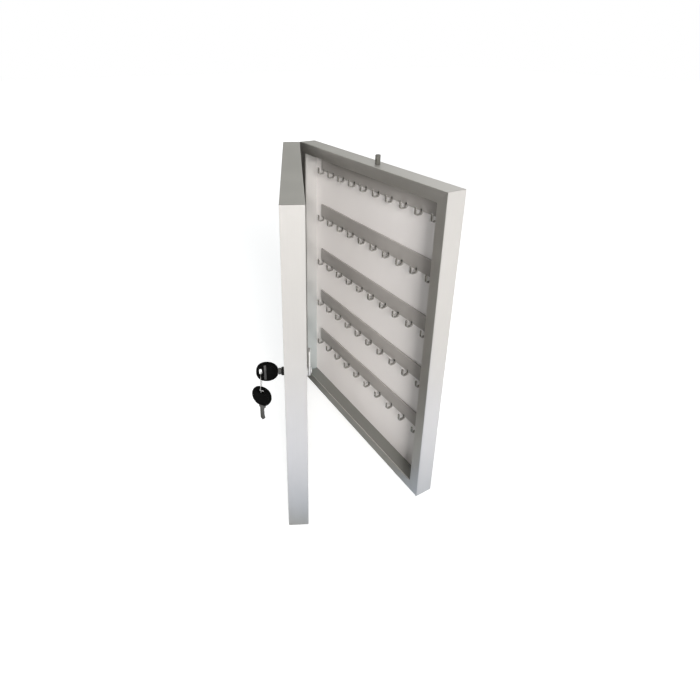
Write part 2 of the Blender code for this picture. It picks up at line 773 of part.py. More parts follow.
def door_panel_outer():
    """Y of the door panel's outer face, in the door's frame."""
    return -LIP_GAP / 2 - DOOR_DEPTH + FLANGE_THICKNESS + SEAT_GAP


def lock_place():
    """The lock's axis, in the door's frame."""
    return Vector((HINGE_OFFSET + BODY_WIDTH - LOCK_FROM_FREE_EDGE, 0, LOCK_HEIGHT - BODY_HEIGHT / 2))


def build_door_panel(door_axis):
    """Door panel, held in the groove of the profiles, with the hole for the lock."""
    outer = door_panel_outer()
    half_width = BODY_WIDTH / 2 - PROFILE_WALL - SEAT_GAP
    half_height = BODY_HEIGHT / 2 - PROFILE_WALL - SEAT_GAP
    centre_x = door_centre().x
    mesh = box_mesh(
        (centre_x - half_width, outer, -half_height),
        (centre_x + half_width, outer + PANEL_THICKNESS, half_height),
    )
    hole = rod_mesh(HOUSING_RADIUS + SEAT_GAP, -CUT_OVERRUN, PANEL_THICKNESS + CUT_OVERRUN, FINE_SIDES)
    hole.transform(Matrix.Rotation(-PI_HALF, 4, "X"))
    hole.transform(Matrix.Translation(lock_place() + Vector((0, outer, 0))))
    add_part("door_panel", combined(mesh, hole), DOOR_PAINT, door_axis)


def nose_face():
    """Y of the lock's outer face. From there each lock piece counts its own height inwards."""
    return door_panel_outer() - SEAT_GAP - HOUSING_FLANGE_THICKNESS - NOSE_LENGTH


def cam_near_face():
    """Y of the cam's face towards the door."""
    return -LIP_GAP / 2 + CAM_FROM_LIP


def outwards(mesh):
    """Point a turned mesh's Z to -Y, so that its heights count outwards from the hinge plane."""
    mesh.transform(Matrix.Rotation(PI_HALF, 4, "X"))
    return mesh


def build_lock_housing(lock_axis):
    """Threaded housing with its flange and nose outside, and the nut behind the door panel."""
    nose = -nose_face()
    flange_outer = nose - NOSE_LENGTH
    flange_inner = flange_outer - HOUSING_FLANGE_THICKNESS
    inner_end = -cam_near_face() + SEAT_GAP
    profile = [
        (HOUSING_BORE_RADIUS, nose),
        (NOSE_RADIUS, nose),
        (NOSE_RADIUS, flange_outer),
        (HOUSING_FLANGE_RADIUS, flange_outer),
        (HOUSING_FLANGE_RADIUS, flange_inner),
        (HOUSING_RADIUS, flange_inner),
        (HOUSING_RADIUS, inner_end),
        (HOUSING_BORE_RADIUS, inner_end),
        (HOUSING_BORE_RADIUS, nose),
    ]
    add_part("lock_housing", outwards(turned_mesh(profile, FINE_SIDES)), LOCK_BLACK, lock_axis)
    nut_outer = -door_panel_outer() - PANEL_THICKNESS - SEAT_GAP
    nut = hexagon_mesh(LOCK_NUT_ACROSS, HOUSING_RADIUS + SEAT_GAP, nut_outer - LOCK_NUT_THICKNESS, nut_outer)
    add_part("lock_nut", outwards(nut), STEEL, lock_axis)


def keyway_half():
    """Half sizes of the keyway: across the blade's thickness, and along its width."""
    return BLADE_THICKNESS / 2 + SEAT_GAP, BLADE_WIDTH / 2 + SEAT_GAP


def build_lock_plug(plug_axis):
    """Turning plug with a keyway outside, and a square tenon with a screw hole inside."""
    nose = -nose_face()
    shoulder = -cam_near_face() + SEAT_GAP
    tenon_end = -cam_near_face() - CAM_THICKNESS + SCREW_SINK
    plug = rod_mesh(PLUG_RADIUS, shoulder, nose, ROUND_SIDES)
    half = TENON_SIDE / 2
    plug = combined(plug, box_mesh((-half, -half, tenon_end), (half, half, shoulder + CUT_OVERRUN)), "UNION")
    thin, wide = keyway_half()
    slot_end = nose - BLADE_LENGTH
    plug = combined(plug, box_mesh((-thin, -wide, slot_end), (thin, wide, nose + CUT_OVERRUN)))
    hole_end = tenon_end + CAM_SCREW_LENGTH
    hole = rod_mesh(CAM_SCREW_RADIUS + SEAT_GAP, tenon_end - CUT_OVERRUN, hole_end, SMALL_SIDES)
    add_part("lock_plug", outwards(combined(plug, hole)), LOCK_BLACK, plug_axis)


def cam_outline():
    """Cam seen along the lock's axis: a round tail, straight sides, and a narrower tip upwards."""
    tail = CAM_WIDTH / 2
    tip = tail * CAM_TIP_SHARE
    steps = ROUND_SIDES // 2
    angles = [pi + pi * step / steps for step in range(steps + 1)]
    points = [(tail * cos(angle), tail * sin(angle)) for angle in angles]
    corners = [(tip, CAM_REACH), (-tip, CAM_REACH)]
    return points + corners


def build_cam(plug_axis):
    """Cam on the plug's tenon, with its screw."""
    half = TENON_SIDE / 2 + SEAT_GAP
    hole = [(-half, -half), (half, -half), (half, half), (-half, half)]
    mesh = outline_mesh([cam_outline(), hole], CAM_THICKNESS)
    middle = cam_near_face() + CAM_THICKNESS / 2
    mesh.transform(Matrix.Translation((0, middle, 0)) @ Matrix.Rotation(PI_HALF, 4, "X"))
    add_part("lock_cam", mesh, CAM_STEEL, plug_axis)
    seat = -cam_near_face() - CAM_THICKNESS - SEAT_GAP
    shank_end = seat + CAM_SCREW_LENGTH - SEAT_GAP
    profile = [
        (0, shank_end),
        (CAM_SCREW_RADIUS, shank_end),
        (CAM_SCREW_RADIUS, seat),
        (CAM_SCREW_HEAD_RADIUS, seat),
        (CAM_SCREW_HEAD_RADIUS, seat - CAM_SCREW_HEAD),
        (0, seat - CAM_SCREW_HEAD),
    ]
    add_part("lock_cam_screw", outwards(turned_mesh(profile)), CAM_STEEL, plug_axis)


def blade_outline():
    """Key blade in XY with its neck's outer end at Y zero: the tang points to +Y, the tip to -Y."""
    half_neck = NECK_WIDTH / 2
    half_blade = BLADE_WIDTH / 2
    half_tang = TANG_WIDTH / 2
    shoulder = -NECK_LENGTH
    end = shoulder - BLADE_LENGTH
    points = [(half_tang, TANG_LENGTH), (-half_tang, TANG_LENGTH), (-half_tang, 0), (-half_neck, 0)]
    points += [(-half_neck, shoulder), (-half_blade, shoulder), (-half_blade, end + BLADE_POINT)]
    points += [(0, end)]
    points += [(half_blade, end + BLADE_POINT)]
    pitch = (shoulder - end - BLADE_POINT) / (len(BLADE_CUT_SHARES) + 1)
    for index, share in enumerate(BLADE_CUT_SHARES):
        middle = end + BLADE_POINT + pitch * (index + 1)
        points += [(half_blade - BLADE_WIDTH * share / 2, middle)]
    points += [(half_blade, shoulder), (half_neck, shoulder), (half_neck, 0), (half_tang, 0)]
    return points


def blade_mesh():
    """Key blade, flat in the YZ plane: its tip points to +Y, into the lock."""
    mesh = outline_mesh([blade_outline()], BLADE_THICKNESS)
    mesh.transform(axes_matrix((0, 0, 1), (0, -1, 0)))
    return mesh


def head_mesh():
    """Moulded key head in the YZ plane, its neck end at Y zero and its ring slot at -Y."""
    work = bmesh.new()
    bmesh.ops.create_cone(
        work, cap_ends=True, segments=FINE_SIDES, radius1=1, radius2=1, depth=HEAD_THICKNESS
    )
    for vertex in work.verts:
        along, across, _ = vertex.co
        if along > 0:
            along = along ** HEAD_SQUARE_SHARE
            across = copysign(abs(across) ** HEAD_SQUARE_SHARE, across)
        else:
            along = max(along * HEAD_NECK_SHARE, -1)
        vertex.co.x = HEAD_LENGTH / 2 * (along + 1)
        vertex.co.y = HEAD_WIDTH / 2 * across
    rims = [edge for edge in work.edges if abs(edge.verts[0].co.z - edge.verts[1].co.z) < HEAD_EDGE_RADIUS]
    bmesh.ops.bevel(
        work, geom=rims, offset=HEAD_EDGE_RADIUS, segments=2, profile=0.5, affect="EDGES", material=-1
    )
    mesh = finished(work)
    mesh.transform(axes_matrix((0, -1, 0), (0, 0, 1)))
    slot_y = -HEAD_LENGTH + HEAD_SLOT_FROM_END
    mesh = combined(mesh, slot_cutter(slot_y))
    half_thick = BLADE_THICKNESS / 2 + SEAT_GAP
    half_wide = TANG_WIDTH / 2 + SEAT_GAP
    pocket = box_mesh((-half_thick, -TANG_LENGTH, -half_wide), (half_thick, CUT_OVERRUN, half_wide))
    return combined(mesh, pocket)


def slot_cutter(slot_y):
    """Long round-ended slot through the key head, upright when the key is in the lock."""
    radius = HEAD_SLOT_WIDTH / 2
    reach = HEAD_SLOT_LENGTH / 2 - radius
    steps = SMALL_SIDES // 2
    points = []
    for end in (1, -1):
        for step in range(steps + 1):
            angle = pi * step / steps
            points.append((end * radius * cos(angle), end * (reach + radius * sin(angle))))
    mesh = outline_mesh([points], HEAD_THICKNESS + 2 * CUT_OVERRUN)
    mesh.transform(axes_matrix((0, 1, 0), (0, 0, 1), (0, slot_y, 0)))
    return mesh


def ring_drop():
    """How far a ring's wire falls away from its top, across half the key head's thickness."""
    half = HEAD_THICKNESS / 2
    return RING_RADIUS - sqrt(RING_RADIUS ** 2 - half ** 2)


def key_neck_end():
    """Y of the outer end of the key's neck, where its head begins."""
    return nose_face() - SEAT_GAP - NECK_LENGTH


def ring_top():
    """Wire's middle where the ring passes through the key in the lock, from the lock's axis."""
    low = -HEAD_SLOT_LENGTH / 2 + SEAT_GAP + ring_drop() + RING_WIRE_RADIUS
    return Vector((0, key_neck_end() - SEAT_GAP - HEAD_LENGTH + HEAD_SLOT_FROM_END, low))


def build_keys(key_axis):
    """Key in the lock, the ring through its head, and the spare key that hangs from the ring."""
    neck_end = key_neck_end()
    add_part("key_blade", blade_mesh(), KEY_STEEL, key_axis, (0, neck_end, 0))
    add_part("key_head", head_mesh(), KEY_BLACK, key_axis, (0, neck_end - SEAT_GAP, 0))
    ring_axis = add_axis("ring_swing", ring_top(), key_axis)
    add_part("key_ring", ring_mesh(), WIRE_STEEL, ring_axis)
    spare_axis = add_axis("spare_key_swing", (0, 0, -2 * RING_RADIUS), ring_axis)
    turn = Matrix.Rotation(SPARE_KEY_TURN, 4, "Z") @ Matrix.Rotation(-PI_HALF, 4, "X")
    slot_rest = ring_drop() + RING_WIRE_RADIUS + SEAT_GAP - HEAD_SLOT_WIDTH / 2
    head_end = slot_rest + HEAD_SLOT_FROM_END - HEAD_LENGTH
    for name, mesh, colour, level in (
        ("spare_key_blade", blade_mesh(), KEY_STEEL, head_end - SEAT_GAP),
        ("spare_key_head", head_mesh(), KEY_BLACK, head_end),
    ):
        mesh.transform(Matrix.Translation((0, 0, level)) @ turn)
        add_part(name, mesh, colour, spare_axis)


def ring_mesh():
    """Wire ring in the XZ plane that hangs from its top."""
    mesh = turned_mesh(
        [(RING_RADIUS + RING_WIRE_RADIUS * cos(angle), RING_WIRE_RADIUS * sin(angle))
         for angle in [PI_HALF - 2 * pi * step / 8 for step in range(9)]],
        FINE_SIDES,
    )
    mesh.transform(Matrix.Translation((0, 0, -RING_RADIUS)) @ Matrix.Rotation(PI_HALF, 4, "X"))
    return mesh


clear_scene()
PARTS = new_collection("key_cabinet")
CUTTERS = new_collection("key_cabinet_cutters")
SILVER = new_material("satin_silver_profile", (0.62, 0.61, 0.59), 0.38, 0.85)
CLEAT_GREY = new_material("cleat_grey", (0.30, 0.30, 0.31), 0.55, 0.6)
PALE_PAINT = new_material("pale_panel_paint", (0.62, 0.60, 0.58), 0.45, 0.0)
DOOR_PAINT = new_material("door_panel_silver", (0.58, 0.57, 0.55), 0.42, 0.5)
RAIL_GREY = new_material("rail_grey", (0.27, 0.26, 0.25), 0.40, 0.4)
STEEL = new_material("zinc_steel", (0.45, 0.45, 0.44), 0.35, 0.9)
HINGE_STEEL = new_material("hinge_steel", (0.55, 0.54, 0.52), 0.38, 0.9)
CAM_STEEL = new_material("bright_cam_steel", (0.75, 0.75, 0.73), 0.25, 0.95)
LOCK_BLACK = new_material("lock_black", (0.02, 0.02, 0.02), 0.35, 0.3)
KEY_STEEL = new_material("key_steel", (0.42, 0.41, 0.38), 0.32, 0.95)
KEY_BLACK = new_material("key_head_black", (0.012, 0.012, 0.012), 0.45, 0.0)
WIRE_STEEL = new_material("ring_wire", (0.60, 0.60, 0.60), 0.25, 0.95)

build_body_frame()
build_back_panel()
build_rails()
build_post()
DOOR_AXIS = add_axis("door_hinge_axis", hinge_axis_place(), turn=-DOOR_REST_ANGLE)
build_door_frame(DOOR_AXIS)
build_door_panel(DOOR_AXIS)
build_hinge(DOOR_AXIS)
LOCK_AXIS = add_axis("lock_axis", lock_place(), DOOR_AXIS)
build_lock_housing(LOCK_AXIS)
PLUG_AXIS = add_axis("plug_axis", (0, 0, 0), LOCK_AXIS)
build_lock_plug(PLUG_AXIS)
build_cam(PLUG_AXIS)
build_keys(PLUG_AXIS)
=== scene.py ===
"""Looks of the key cabinet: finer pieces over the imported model, finishes, light and camera.

Lengths are in metres. X runs across the cabinet, Y back to the wall and Z up.
"""

from math import copysign, cos, pi, radians, sin

import bmesh
import bpy
from mathutils import Matrix, Vector


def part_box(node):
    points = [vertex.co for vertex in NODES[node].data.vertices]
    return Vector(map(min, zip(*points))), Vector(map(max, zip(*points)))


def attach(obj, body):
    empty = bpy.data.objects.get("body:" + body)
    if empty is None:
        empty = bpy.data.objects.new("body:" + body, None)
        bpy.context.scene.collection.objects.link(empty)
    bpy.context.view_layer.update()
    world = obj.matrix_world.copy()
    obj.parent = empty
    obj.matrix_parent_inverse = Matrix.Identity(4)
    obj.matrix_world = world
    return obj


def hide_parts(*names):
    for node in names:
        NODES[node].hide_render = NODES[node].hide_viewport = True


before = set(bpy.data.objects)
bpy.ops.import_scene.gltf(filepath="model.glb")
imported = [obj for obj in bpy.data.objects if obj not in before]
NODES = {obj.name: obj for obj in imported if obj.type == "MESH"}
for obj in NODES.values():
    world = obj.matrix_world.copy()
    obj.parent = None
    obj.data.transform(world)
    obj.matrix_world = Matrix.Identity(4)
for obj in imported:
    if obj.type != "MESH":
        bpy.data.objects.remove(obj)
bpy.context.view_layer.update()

# The door stands open by this angle about the hinge line, and the lock sits near its free edge.
DOOR_ANGLE = radians(26.9)
HINGE_LINE = (-0.1723, -0.02725, 0)
LOCK_IN_DOOR = (0.3028, 0, -0.0025)
DOOR = Matrix.Translation(HINGE_LINE) @ Matrix.Rotation(-DOOR_ANGLE, 4, "Z")
LOCK = DOOR @ Matrix.Translation(LOCK_IN_DOOR)

# Turns a shape's own Z toward the wall.
Z_TO_WALL = Matrix.Rotation(-pi / 2, 4, "X")

# Points closer than this are one: on a CAD node, on a shape made here, and beside a middle line.
SAME_CORNER, SAME_POINT, ON_AXIS = 0.000005, 0.0000005, 0.00001

# Angles between two faces: below the first they are one flat face, above the next three their
# edge is rounded on a fitting, a key's blade or a key's head, and above the last two it is
# shaded sharp on a piece or on the ring.
FLAT_ANGLE = radians(0.4)
FITTING_ANGLE, BLADE_ANGLE, HEAD_ANGLE = radians(40), radians(50), radians(60)
SHARP_ANGLE, SHARP_ANGLE_OF_RING = radians(35), radians(60)

# Radius of the broken corners of fittings that keep their CAD shape.
POST_NUT_CORNER, LOCK_NUT_CORNER, HOUSING_CORNER, PLUG_CORNER = 0.0003, 0.0004, 0.0004, 0.0002
CAM_CORNER, CAM_SCREW_CORNER, BLADE_CORNER = 0.0005, 0.0004, 0.0002
RIVET_CORNER, HINGE_PIN_CORNER = 0.00015, 0.0002
RIVETS_PER_LEAF = 5

# Hook rails, in the body's frame.
RAIL_LEFT, RAIL_RIGHT = -0.1416, 0.1416
RAIL_FRONT, RAIL_BACK = -0.0043, -0.0013
RAIL_HEIGHT, RAIL_CORNER = 0.0225, 0.0005
RAIL_BOTTOMS = (0.1818, 0.1018, 0.0218, -0.0582, -0.1382)
HOOK_FIRST, HOOK_PITCH, HOOK_COUNT = -0.1344, 0.0298667, 10
HOOK_WIDTH, HOOK_THICKNESS, HOOK_CORNER = 0.0042, 0.0015, 0.0005
HOOK_ROOT, HOOK_DROP, HOOK_FLOOR, HOOK_RISE = 0.003, 0.0012, 0.0045, 0.0082
HOOK_BEND_RADIUS = 0.0020
HOOK_TAPER, HOOK_TIP_LENGTH = 0.98, 0.0014
# Steps of the rounded tip: how far each rises, and how narrow it gets.
HOOK_TIP = ((0.0007, 0.90), (0.0004, 0.78), (0.0003, 0.62))
PEG_FROM_END = 0.038

# Turned parts: how many sides they have, and their points of radius and height.
PEG_SIDES, POST_SIDES, PANEL_SCREW_SIDES = 24, 48, 32
PEG_PROFILE = (
    (0, -0.0005), (0.0009, -0.0003), (0.0020, -0.0001), (0.00225, -0.0002),
    (0.0014, -0.0010), (0.0014, -0.0028), (0, -0.0028),
)
POST_FOOT = (0.0241, -0.0149, 0.225)
POST_PROFILE = (
    (0, 0.0118), (0.0013, 0.0118), (0.0016, 0.0121), (0.0016, 0.0130), (0.0030, 0.0130),
    (0.0034, 0.0128), (0.00355, 0.0124), (0.00355, 0.0007), (0.0034, 0.0003),
    (0.0025, 0.0003), (0.0025, -0.0119), (0.0023, -0.0122), (0, -0.0122),
)
PANEL_SCREW_COUNT, PANEL_SCREW_FACE = 6, -0.0001
PANEL_SCREW_PROFILE = (
    (0, PANEL_SCREW_FACE), (0.0017, PANEL_SCREW_FACE), (0.0021, -0.00022), (0.0012, -0.0010),
    (0.0011, -0.0013), (0.0011, -0.0054), (0.0006, -0.0060), (0, -0.0060),
)

# Cross recesses of the screws: reach, width and depth of each bar.
PANEL_SCREW_CROSS = (0.00115, 0.00042, 0.00075)
CAM_SCREW_CROSS = (0.0021, 0.0007, 0.0010)
CAM_SCREW_FACE = 0.0065

# Lock housing: its black cap ends here, in the door's frame, and its bright barrel follows.
HOUSING_CAP_BACK = -0.0254

# Moulded key heads, from the lock's axis.
HEAD_START = -0.03535
HEAD_LENGTH, HEAD_WIDTH, HEAD_THICKNESS = 0.0272, 0.0270, 0.0050
HEAD_SQUARE_SHARE, HEAD_NECK_SHARE = 0.88, 1.06
HEAD_RIM, HEAD_SINK, SINK_MARGIN, SINK_SLOPE = 0.00145, 0.0006, 0.0012, 0.0005
RIB_FROM_END, RIB_WIDTH, RIB_REACH = 0.0113, 0.0030, 0.0108
RIB_HEIGHT, RIB_CORNER = 0.0012, 0.0005
SLOT_FROM_END, SLOT_LENGTH, SLOT_WIDTH = 0.0055, 0.0098, 0.0036
OUTLINE_POINTS = 48
SMALLEST_SUNK_FACE = 0.000001

# Split ring and the spare key that hangs from it.
RING_RADIUS, RING_WIRE_WIDTH, RING_WIRE_HEIGHT = 0.0124, 0.00086, 0.00043
RING_TOP = Vector((0, -0.05705, -0.0036954))
RING_TURN, RING_STEPS, WIRE_SIDES = 4 * pi - 0.2, 120, 16
SPARE_TURN = radians(-27)
SPARE_HEAD_END = -0.0222954

# Drawn silver: grain sizes and tones.
LINE_LENGTH, LINE_WIDTH, LINE_DEPTH = 0.16, 0.0005, 0.000012
SILVER_CLOUD, SILVER_RUB = 0.045, 0.006
SILVER_DARK, SILVER_LIGHT = (0.74, 0.725, 0.70), (0.84, 0.825, 0.80)
SILVER_METALLIC = 0.92

# Where the body's silver changes tone, each as the two ends of a soft step: behind the front
# lips in Y, above the bottom profile's sill in Z, along the front in X from the hinge on, and
# through the inner side of the left profile in X and up it in Z.
LIP_BACK = (-0.0252, -0.0250)
SILL_TOP = (-0.2174, -0.2172)
NEAR_HINGE = (-0.19, -0.06)
WALL_START, WALL_END, WALL_REFLECTION_RISE = (-0.1632, -0.1627), (-0.1601, -0.1600), (-0.17, 0.06)
# Painted shade on the sill and on the front near the hinge, with how much of the latter shows.
# Then the painted light and reflection of the inner wall: a grey at its foot, cooler and darker,
# one at its head, and how much of it shows.
SILL_SHADE = (0.32, 0.325, 0.305)
HINGE_SHADE, HINGE_SHARE = (0.25, 0.25, 0.235), 0.75
WALL_REFLECTION_FOOT, WALL_REFLECTION_HEAD, WALL_REFLECTION_SHARE = (0.40, 0.445, 0.45), (0.525, 0.52, 0.51), 0.85

# Grain sizes and relief of the other finishes.
PAINT_CLOUD, PEEL_DEPTH = 0.09, 0.00001
STEEL_CLOUD, SCRATCH_SIZES, SCRATCH_DEPTH = 0.004, (0.0002, 0.004, 0.0012), 0.000006
PLASTIC_CLOUD, SPARK_DEPTH = 0.009, 0.00002

# The inner side of the door's sheet, which carries painted shade, starts between these two depths
# of the door's frame.
SHADED_INSIDE_START = (-0.0249, -0.0246)

# Floor: its reach and level, and the spot under the cabinet that its tones spread from. Gloss
# sees painted shade on it up to SHADE_END from there, and a cooler tone right of STRIP_SIDE up to
# STRIP_END. For the camera it glows up to pure white over GLOW_RISE.
FLOOR_REACH, FLOOR_LEVEL = 9, -0.225
SHADE_CENTRE = (-0.06, -0.10, FLOOR_LEVEL)
SHADE_END, STRIP_SIDE, STRIP_END, GLOW_RISE = (0.20, 0.36), (0.16, 0.23), (0.42, 0.56), (1.0, 5.0)
FLOOR_GREY = (0.72, 0.74, 0.745)
SHADE_GREY, SHADE_BLUE = (0.29, 0.30, 0.29), (0.36, 0.42, 0.50)
PALE_GREY, PALE_BLUE = (0.81, 0.81, 0.805), (0.82, 0.86, 0.95)
GLOW, GLOW_GAIN = 0.49, 0.7

# Even light, and the room that gloss sees, graded from its left side to the rest.
AMBIENT, AMBIENT_TINT = 0.33, (0.97, 0.98, 1.0)
STUDIO_LEFT, STUDIO_RIGHT = (0.24, 0.245, 0.22), (0.84, 0.835, 0.82)
STUDIO_STEP = (-0.95, -0.45)
WHITE = (1.0, 1.0, 1.0)

# Lamps: name, degrees round from +X, degrees up, level and colour.
LAMP_DISTANCE, LAMP_SIZE = 12.0, 4.8
LAMPS = (
    ("key_lamp", -22, 17, 1.66, (1.0, 0.972, 0.95)),
    ("front_lamp", -60, 14, 0.06, (1.0, 0.98, 0.96)),
    ("left_lamp", -158, 22, 0.30, (1.0, 0.98, 0.96)),
)

# Camera of the photograph: frame, focal length and optical middle in pixels, place and turns.
PHOTO_SIZE, PHOTO_FOCAL, PHOTO_MIDDLE = 700, 503.9, (320.6, 260.6)
SENSOR_WIDTH, CLIP_START = 36, 0.01
CAMERA_PLACE = (0.55765, -0.41118, 0.37498)
CAMERA_TURN, CAMERA_DIP, CAMERA_ROLL = 1.04488, 0.4121, 0.00256


class Signal:
    """One output of a shader node. Arithmetic on it adds Math nodes to its material."""

    def __init__(self, finish, socket):
        self.finish = finish
        self.socket = socket

    def maths(self, operation, *values):
        """A Math node on some values or signals."""
        return self.finish.node("ShaderNodeMath", dict(enumerate(values)), operation=operation)

    def __add__(self, other):
        return self.maths("ADD", self, other)

    def __sub__(self, other):
        return self.maths("SUBTRACT", self, other)

    def __rsub__(self, other):
        return self.maths("SUBTRACT", other, self)

    def __mul__(self, other):
        return self.maths("MULTIPLY", self, other)

    __radd__ = __add__

    def held(self):
        """The signal kept between 0 and 1."""
        return self.maths("MINIMUM", self.maths("MAXIMUM", self, 0.0), 1.0)

    def ramp(self, low, high):
        """0 below one value, 1 above the other, and smooth in between."""
        sockets = {0: self, 1: low, 2: high}
        return self.finish.node("ShaderNodeMapRange", sockets, interpolation_type="SMOOTHSTEP")


class Finish:
    """The nodes of a material, or of the world, in the making."""

    def __init__(self, name, owner=None):
        self.owner = owner or bpy.data.materials.new(name)
        self.owner.use_nodes = True
        self.tree = self.owner.node_tree
        self.tree.nodes.clear()

    def node(self, kind, sockets=None, output=0, **settings):
        """Add a node: first its settings, then the values or links of its sockets."""
        made = self.tree.nodes.new(kind)
        for name, value in settings.items():
            setattr(made, name, value)
        for name, value in (sockets or {}).items():
            socket = made.inputs[name]
            if isinstance(value, Signal):
                self.tree.links.new(value.socket, socket)
            else:
                socket.default_value = (*value, 1.0) if socket.type == "RGBA" else value
        return Signal(self, made.outputs[output]) if len(made.outputs) else made

    def place(self, size, turn=0.0, centre=(0, 0, 0)):
        """The piece's own coordinates, counted in grains of a size and turned about Z."""
        sockets = {
            "Vector": self.node("ShaderNodeTexCoord", output="Object"),
            "Location": centre,
            "Rotation": (0, 0, turn),
            "Scale": size if isinstance(size, tuple) else (size, size, size),
        }
        return self.node("ShaderNodeMapping", sockets, vector_type="TEXTURE")

    def axis(self, spot, index):
        """X, Y or Z of a place, for 0, 1 or 2."""
        return self.node("ShaderNodeSeparateXYZ", {0: spot}, index)

    def noise(self, place, detail=2.0, roughness=0.5):
        """Cloudy pattern from 0 to 1, one cloud to a grain."""
        sockets = {"Vector": place, "Scale": 1.0, "Detail": detail, "Roughness": roughness}
        return self.node("ShaderNodeTexNoise", sockets)

    def mix(self, factor, first, second):
        """Blend of two colours."""
        sockets = {0: factor, 6: first, 7: second}
        return self.node("ShaderNodeMix", sockets, 2, data_type="RGBA")

    def bump(self, height, depth, strength):
        """Surface relief of a real depth."""
        sockets = {"Height": height, "Distance": depth, "Strength": strength}
        return self.node("ShaderNodeBump", sockets)

    def rays(self):
        """Whether the camera looks, and whether gloss or glass does."""
        camera, glossy, glass = (
            self.node("ShaderNodeLightPath", output="Is " + kind + " Ray")
            for kind in ("Camera", "Glossy", "Transmission")
        )
        return camera, (glossy + glass).held()

    def surface(self, **sockets):
        """End the material in a Principled surface. Underscores in the names stand for spaces."""
        named = {name.replace("_", " "): value for name, value in sockets.items()}
        shader = self.node("ShaderNodeBsdfPrincipled", named)
        self.node("ShaderNodeOutputMaterial", {"Surface": shader})
        return self.owner


def drawn_silver(name, run, turn=0.0, sill=False):
    """Satin silver of a drawn profile: fine lines along its run, faint clouds and rubbed spots.

    Without a turn it is the body's silver, with painted shade on the front near the hinge and on
    the sill of the bottom profile, and on the inner side of the left profile a darker, less
    metallic grey with painted light and reflection, cooler and darker towards its foot.
    """
    finish = Finish(name)
    sizes = (LINE_LENGTH, LINE_WIDTH, LINE_WIDTH)
    lines = finish.noise(finish.place(sizes if run == "X" else sizes[::-1], turn), 3.0, 0.6)
    clouds = finish.noise(finish.place(SILVER_CLOUD, turn), 3.0)
    rubs = finish.noise(finish.place(SILVER_RUB, turn), 4.0, 0.7).ramp(0.62, 0.74)
    tone = (lines * 0.55 + clouds * 0.45).held()
    colour = finish.mix(tone, SILVER_DARK, SILVER_LIGHT)
    metallic = SILVER_METALLIC
    if not turn:
        spot = finish.place(1)
        across, depth, height = (finish.axis(spot, index) for index in range(3))
        behind_lip = depth.ramp(*LIP_BACK)
        # Painted shade: the sill behind the bottom lip is darker.
        if sill:
            colour = finish.mix(behind_lip * height.ramp(*SILL_TOP), colour, SILL_SHADE)
        # Painted shade: the front is darker near the hinge.
        near_hinge = (1 - across.ramp(*NEAR_HINGE)) * (1 - behind_lip)
        colour = finish.mix(near_hinge * HINGE_SHARE, colour, HINGE_SHADE)
        # Painted light and reflection: the inner side of the left profile is a less metallic
        # grey, cooler and darker towards its foot.
        behind = behind_lip * across.ramp(*WALL_START)
        inner_wall = behind * (1 - across.ramp(*WALL_END))
        wall = finish.mix(height.ramp(*WALL_REFLECTION_RISE), WALL_REFLECTION_FOOT, WALL_REFLECTION_HEAD)
        colour = finish.mix(inner_wall * WALL_REFLECTION_SHARE, colour, wall)
        metallic = SILVER_METALLIC - behind * 0.08 - inner_wall * 0.32
    return finish.surface(
        Base_Color=colour,
        Metallic=metallic,
        Roughness=0.27 + clouds * 0.10 + lines * 0.06 + rubs * 0.06,
        Normal=finish.bump(lines, LINE_DEPTH, 0.6),
    )


def painted_sheet(name, light, dark, roughness, metallic=0.0, grain=0.0009, shaded_inside=None):
    """Powder-coated sheet: orange peel, faint clouds, and on the door's a darker inner side:
    painted shade.
    """
    finish = Finish(name)
    clouds = finish.noise(finish.place(PAINT_CLOUD), 3.0)
    peel = finish.noise(finish.place(grain))
    colour = finish.mix(clouds.ramp(0.3, 0.7), dark, light)
    # Painted shade: the door's sheet is darker on its inner side.
    if shaded_inside:
        spot = finish.place(1, -DOOR_ANGLE, HINGE_LINE)
        colour = finish.mix(finish.axis(spot, 1).ramp(*SHADED_INSIDE_START), colour, shaded_inside)
    return finish.surface(
        Base_Color=colour,
        Metallic=metallic,
        Roughness=roughness - 0.04 + clouds * 0.08 + peel * 0.04,
        Normal=finish.bump(peel, PEEL_DEPTH, 0.8),
    )


def plated_steel(name, light, dark, roughness, metallic=0.95):
    """Plated steel of the small parts: faint clouds, short scratches and uneven gloss."""
    finish = Finish(name)
    clouds = finish.noise(finish.place(STEEL_CLOUD), 3.0)
    scratches = finish.noise(finish.place(SCRATCH_SIZES), 3.0, 0.65)
    colour = finish.mix((clouds * 0.6 + scratches * 0.4).held(), dark, light)
    return finish.surface(
        Base_Color=colour,
        Metallic=metallic,
        Roughness=roughness - 0.03 + clouds * 0.08 + scratches * 0.05,
        Normal=finish.bump(scratches, SCRATCH_DEPTH, 0.6),
    )


def moulded_black(name, level, roughness, gloss, grain=0.0004):
    """Black moulded plastic: fine spark texture, greyer where fingers have rubbed it."""
    finish = Finish(name)
    spark = finish.noise(finish.place(grain))
    rub = finish.noise(finish.place(PLASTIC_CLOUD), 3.0).ramp(0.45, 0.75)
    worn = (level * 1.9, level * 1.9, level * 1.95)
    return finish.surface(
        Base_Color=finish.mix(rub, (level, level, level), worn),
        Metallic=0.0,
        Specular_IOR_Level=gloss,
        Roughness=roughness - rub * 0.08 + spark * 0.06,
        Normal=finish.bump(spark, SPARK_DEPTH, 0.7),
    )


